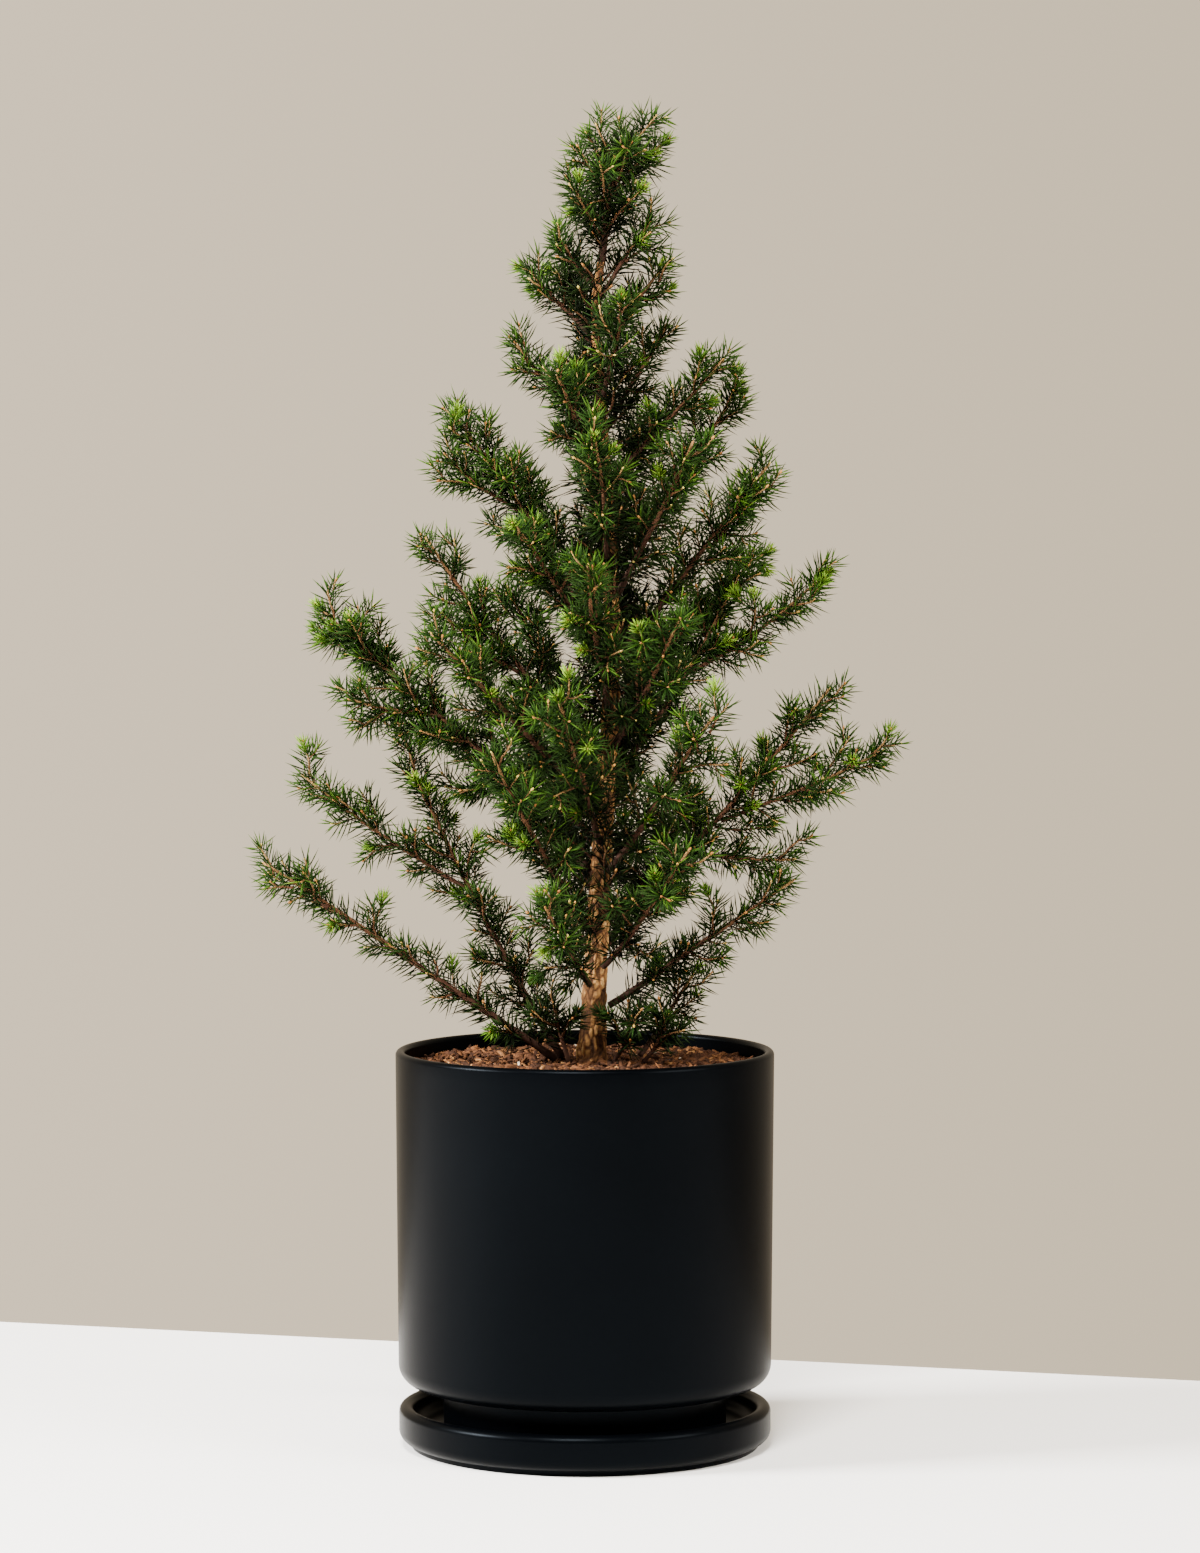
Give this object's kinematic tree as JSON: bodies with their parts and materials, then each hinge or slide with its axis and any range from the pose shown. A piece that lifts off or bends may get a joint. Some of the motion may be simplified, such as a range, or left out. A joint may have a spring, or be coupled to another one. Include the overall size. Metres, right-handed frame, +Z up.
{
  "type": "tabletop artificial tree",
  "caption": "Tabletop evergreen tree with wired, bendable needle boughs on a bark trunk, set in a matte black cylinder planter that stands in a round saucer.",
  "frame": {"origin": "on the planter's axis, in the plane of the saucer's underside that the part rests on", "axes": "+Z up along the planter's axis; -Y is the front, the side shown; +X is to the right seen from the front"},
  "size_m": [0.2697, 0.18, 0.5738],
  "materials": {
    "glaze": "matte",
    "grower_plastic": "satin",
    "cement": "rough",
    "foam": "matte",
    "mulch": "rough",
    "steel": "satin",
    "bark": "rough",
    "foliage": "satin"
  },
  "bodies": {
    "root": {"saucer": "glaze"},
    "planter": {"planter": "glaze"},
    "tree": {"grower_pot": "grower_plastic", "cement_weight": "cement", "foam_packing": "foam", "mulch_topping": "mulch", "trunk_rod": "steel", "trunk_bark": "bark", "leader": "foliage"},
    "bough_left_3": {"bough_left_3": "foliage"},
    "bough_left_4": {"bough_left_4": "foliage"},
    "bough_left_5": {"bough_left_5": "foliage"},
    "bough_left_6": {"bough_left_6": "foliage"},
    "bough_left_7": {"bough_left_7": "foliage"},
    "bough_left_8": {"bough_left_8": "foliage"},
    "bough_right_2": {"bough_right_2": "foliage"},
    "bough_right_3": {"bough_right_3": "foliage"},
    "bough_right_4": {"bough_right_4": "foliage"},
    "bough_right_5": {"bough_right_5": "foliage"},
    "bough_right_6": {"bough_right_6": "foliage"},
    "bough_right_7": {"bough_right_7": "foliage"},
    "bough_right_8": {"bough_right_8": "foliage"},
    "bough_right_9": {"bough_right_9": "foliage"},
    "bough_front_1": {"bough_front_1": "foliage"},
    "bough_front_2": {"bough_front_2": "foliage"},
    "bough_front_3": {"bough_front_3": "foliage"},
    "bough_front_4": {"bough_front_4": "foliage"},
    "bough_front_5": {"bough_front_5": "foliage"},
    "bough_front_6": {"bough_front_6": "foliage"},
    "bough_front_7": {"bough_front_7": "foliage"},
    "bough_front_8": {"bough_front_8": "foliage"},
    "bough_front_9": {"bough_front_9": "foliage"},
    "bough_front_10": {"bough_front_10": "foliage"},
    "bough_front_11": {"bough_front_11": "foliage"},
    "bough_front_12": {"bough_front_12": "foliage"},
    "bough_front_13": {"bough_front_13": "foliage"},
    "bough_back_1": {"bough_back_1": "foliage"},
    "bough_back_2": {"bough_back_2": "foliage"},
    "bough_back_3": {"bough_back_3": "foliage"},
    "bough_back_4": {"bough_back_4": "foliage"},
    "bough_back_5": {"bough_back_5": "foliage"},
    "bough_back_6": {"bough_back_6": "foliage"},
    "bough_back_7": {"bough_back_7": "foliage"},
    "bough_back_8": {"bough_back_8": "foliage"},
    "bough_back_9": {"bough_back_9": "foliage"},
    "bough_back_10": {"bough_back_10": "foliage"},
    "bough_back_11": {"bough_back_11": "foliage"},
    "bough_back_12": {"bough_back_12": "foliage"},
    "bough_left_1": {"bough_left_1": "foliage"},
    "bough_left_2": {"bough_left_2": "foliage"},
    "bough_right_1": {"bough_right_1": "foliage"},
    "bough_foot_1": {"bough_foot_1": "foliage"},
    "bough_foot_2": {"bough_foot_2": "foliage"},
    "bough_foot_3": {"bough_foot_3": "foliage"}
  },
  "joints": [
    {"name": "planter_lift", "type": "slide", "parent": "root", "child": "planter", "axis": [0, 0, 1], "range_m": [0, 0.06]},
    {"name": "tree_lift", "type": "slide", "parent": "planter", "child": "tree", "axis": [0, 0, 1], "range_m": [0, 0.16]},
    {"name": "bend_left_3", "type": "hinge", "parent": "tree", "child": "bough_left_3", "pos_m": [0.00241, 0.00039, 0.2677], "axis": [0.0698, 0.9976, 0], "range_deg": [-12, 12]},
    {"name": "bend_left_4", "type": "hinge", "parent": "tree", "child": "bough_left_4", "pos_m": [0.00486, -0.00054, 0.3029], "axis": [-0.1045, 0.9945, 0], "range_deg": [-12, 12]},
    {"name": "bend_left_5", "type": "hinge", "parent": "tree", "child": "bough_left_5", "pos_m": [0.00729, 0.00049, 0.3465], "axis": [0.1045, 0.9945, 0], "range_deg": [-12, 12]},
    {"name": "bend_left_6", "type": "hinge", "parent": "tree", "child": "bough_left_6", "pos_m": [0.00398, -0.00026, 0.4417], "axis": [-0.0698, 0.9976, 0], "range_deg": [-12, 12]},
    {"name": "bend_left_7", "type": "hinge", "parent": "tree", "child": "bough_left_7", "pos_m": [0.00187, 0.00046, 0.4837], "axis": [0.1392, 0.9903, 0], "range_deg": [-12, 12]},
    {"name": "bend_left_8", "type": "hinge", "parent": "tree", "child": "bough_left_8", "pos_m": [0.00258, -0.00053, 0.5053], "axis": [-0.1736, 0.9848, 0], "range_deg": [-12, 12]},
    {"name": "bend_right_2", "type": "hinge", "parent": "tree", "child": "bough_right_2", "pos_m": [0.01053, -0.00071, 0.1921], "axis": [-0.1045, -0.9945, 0], "range_deg": [-12, 12]},
    {"name": "bend_right_3", "type": "hinge", "parent": "tree", "child": "bough_right_3", "pos_m": [0.01175, 0.00021, 0.2297], "axis": [0.0349, -0.9994, 0], "range_deg": [-12, 12]},
    {"name": "bend_right_4", "type": "hinge", "parent": "tree", "child": "bough_right_4", "pos_m": [0.01466, 0.00074, 0.2933], "axis": [0.1392, -0.9903, 0], "range_deg": [-12, 12]},
    {"name": "bend_right_5", "type": "hinge", "parent": "tree", "child": "bough_right_5", "pos_m": [0.01672, -0.00033, 0.3473], "axis": [-0.0698, -0.9976, 0], "range_deg": [-12, 12]},
    {"name": "bend_right_6", "type": "hinge", "parent": "tree", "child": "bough_right_6", "pos_m": [0.01508, 0.0009, 0.3853], "axis": [0.2079, -0.9781, 0], "range_deg": [-12, 12]},
    {"name": "bend_right_7", "type": "hinge", "parent": "tree", "child": "bough_right_7", "pos_m": [0.01283, -0.00068, 0.4213], "axis": [-0.1736, -0.9848, 0], "range_deg": [-12, 12]},
    {"name": "bend_right_8", "type": "hinge", "parent": "tree", "child": "bough_right_8", "pos_m": [0.00878, 0.00029, 0.4773], "axis": [0.0872, -0.9962, 0], "range_deg": [-12, 12]},
    {"name": "bend_right_9", "type": "hinge", "parent": "tree", "child": "bough_right_9", "pos_m": [0.00819, -0.0008, 0.5017], "axis": [-0.2588, -0.9659, 0], "range_deg": [-12, 12]},
    {"name": "bend_front_1", "type": "hinge", "parent": "tree", "child": "bough_front_1", "pos_m": [0.00216, -0.00614, 0.2017], "axis": [-0.9455, 0.3256, 0], "range_deg": [-12, 12]},
    {"name": "bend_front_2", "type": "hinge", "parent": "tree", "child": "bough_front_2", "pos_m": [0.00816, -0.00531, 0.2097], "axis": [-0.8387, -0.5446, 0], "range_deg": [-12, 12]},
    {"name": "bend_front_3", "type": "hinge", "parent": "tree", "child": "bough_front_3", "pos_m": [0.00197, -0.00499, 0.2245], "axis": [-0.8192, 0.5736, 0], "range_deg": [-12, 12]},
    {"name": "bend_front_4", "type": "hinge", "parent": "tree", "child": "bough_front_4", "pos_m": [0.01037, -0.00466, 0.2513], "axis": [-0.809, -0.5878, 0], "range_deg": [-12, 12]},
    {"name": "bend_front_5", "type": "hinge", "parent": "tree", "child": "bough_front_5", "pos_m": [0.00638, -0.00546, 0.2637], "axis": [-0.9703, 0.2419, 0], "range_deg": [-12, 12]},
    {"name": "bend_front_6", "type": "hinge", "parent": "tree", "child": "bough_front_6", "pos_m": [0.00421, -0.00312, 0.2801], "axis": [-0.5736, 0.8192, 0], "range_deg": [-12, 12]},
    {"name": "bend_front_7", "type": "hinge", "parent": "tree", "child": "bough_front_7", "pos_m": [0.01243, -0.00466, 0.3049], "axis": [-0.8988, -0.4384, 0], "range_deg": [-12, 12]},
    {"name": "bend_front_8", "type": "hinge", "parent": "tree", "child": "bough_front_8", "pos_m": [0.01045, -0.00496, 0.3213], "axis": [-0.9903, 0.1392, 0], "range_deg": [-12, 12]},
    {"name": "bend_front_9", "type": "hinge", "parent": "tree", "child": "bough_front_9", "pos_m": [0.00879, -0.00354, 0.3441], "axis": [-0.7431, 0.6691, 0], "range_deg": [-12, 12]},
    {"name": "bend_front_10", "type": "hinge", "parent": "tree", "child": "bough_front_10", "pos_m": [0.01422, -0.00358, 0.3709], "axis": [-0.7986, -0.6018, 0], "range_deg": [-12, 12]},
    {"name": "bend_front_11", "type": "hinge", "parent": "tree", "child": "bough_front_11", "pos_m": [0.01025, -0.00428, 0.3853], "axis": [-0.9903, 0.1392, 0], "range_deg": [-12, 12]},
    {"name": "bend_front_12", "type": "hinge", "parent": "tree", "child": "bough_front_12", "pos_m": [0.00691, -0.0034, 0.4225], "axis": [-0.866, 0.5, 0], "range_deg": [-12, 12]},
    {"name": "bend_front_13", "type": "hinge", "parent": "tree", "child": "bough_front_13", "pos_m": [0.00785, -0.00345, 0.4557], "axis": [-0.9659, -0.2588, 0], "range_deg": [-12, 12]},
    {"name": "bend_back_1", "type": "hinge", "parent": "tree", "child": "bough_back_1", "pos_m": [0.00799, 0.00549, 0.2161], "axis": [0.8829, -0.4695, 0], "range_deg": [-12, 12]},
    {"name": "bend_back_2", "type": "hinge", "parent": "tree", "child": "bough_back_2", "pos_m": [0.00442, 0.00562, 0.2389], "axis": [0.9511, 0.309, 0], "range_deg": [-12, 12]},
    {"name": "bend_back_3", "type": "hinge", "parent": "tree", "child": "bough_back_3", "pos_m": [0.00227, 0.00331, 0.2513], "axis": [0.5736, 0.8192, 0], "range_deg": [-12, 12]},
    {"name": "bend_back_4", "type": "hinge", "parent": "tree", "child": "bough_back_4", "pos_m": [0.00966, 0.00535, 0.2737], "axis": [0.9703, -0.2419, 0], "range_deg": [-12, 12]},
    {"name": "bend_back_5", "type": "hinge", "parent": "tree", "child": "bough_back_5", "pos_m": [0.00641, 0.00452, 0.2905], "axis": [0.848, 0.5299, 0], "range_deg": [-12, 12]},
    {"name": "bend_back_6", "type": "hinge", "parent": "tree", "child": "bough_back_6", "pos_m": [0.0148, 0.00312, 0.3153], "axis": [0.6157, -0.788, 0], "range_deg": [-12, 12]},
    {"name": "bend_back_7", "type": "hinge", "parent": "tree", "child": "bough_back_7", "pos_m": [0.01146, 0.00489, 0.3317], "axis": [0.9994, 0.0349, 0], "range_deg": [-12, 12]},
    {"name": "bend_back_8", "type": "hinge", "parent": "tree", "child": "bough_back_8", "pos_m": [0.00829, 0.00284, 0.3585], "axis": [0.6157, 0.788, 0], "range_deg": [-12, 12]},
    {"name": "bend_back_9", "type": "hinge", "parent": "tree", "child": "bough_back_9", "pos_m": [0.01204, 0.00416, 0.3853], "axis": [0.9613, -0.2756, 0], "range_deg": [-12, 12]},
    {"name": "bend_back_10", "type": "hinge", "parent": "tree", "child": "bough_back_10", "pos_m": [0.00787, 0.00373, 0.4141], "axis": [0.9272, 0.3746, 0], "range_deg": [-12, 12]},
    {"name": "bend_back_11", "type": "hinge", "parent": "tree", "child": "bough_back_11", "pos_m": [0.01022, 0.00262, 0.4433], "axis": [0.7071, -0.7071, 0], "range_deg": [-12, 12]},
    {"name": "bend_back_12", "type": "hinge", "parent": "tree", "child": "bough_back_12", "pos_m": [0.0045, 0.00318, 0.4741], "axis": [0.9397, 0.342, 0], "range_deg": [-12, 12]},
    {"name": "bend_left_1", "type": "hinge", "parent": "tree", "child": "bough_left_1", "pos_m": [-0.01265, -0.00333, 0.1689], "axis": [-0.2079, 0.9781, 0], "range_deg": [-12, 12]},
    {"name": "bend_left_2", "type": "hinge", "parent": "tree", "child": "bough_left_2", "pos_m": [-0.00967, 0.00292, 0.1689], "axis": [0.225, 0.9744, 0], "range_deg": [-12, 12]},
    {"name": "bend_right_1", "type": "hinge", "parent": "tree", "child": "bough_right_1", "pos_m": [0.02401, 0.00936, 0.1689], "axis": [0.4067, -0.9135, 0], "range_deg": [-12, 12]},
    {"name": "bend_foot_1", "type": "hinge", "parent": "tree", "child": "bough_foot_1", "pos_m": [0.0129, -0.0099, 0.1689], "axis": [-0.7071, -0.7071, 0], "range_deg": [-12, 12]},
    {"name": "bend_foot_2", "type": "hinge", "parent": "tree", "child": "bough_foot_2", "pos_m": [0.02552, -0.013, 0.1689], "axis": [-0.5, -0.866, 0], "range_deg": [-12, 12]},
    {"name": "bend_foot_3", "type": "hinge", "parent": "tree", "child": "bough_foot_3", "pos_m": [-0.00685, -0.01261, 0.1689], "axis": [-0.788, 0.6157, 0], "range_deg": [-12, 12]}
  ]
}
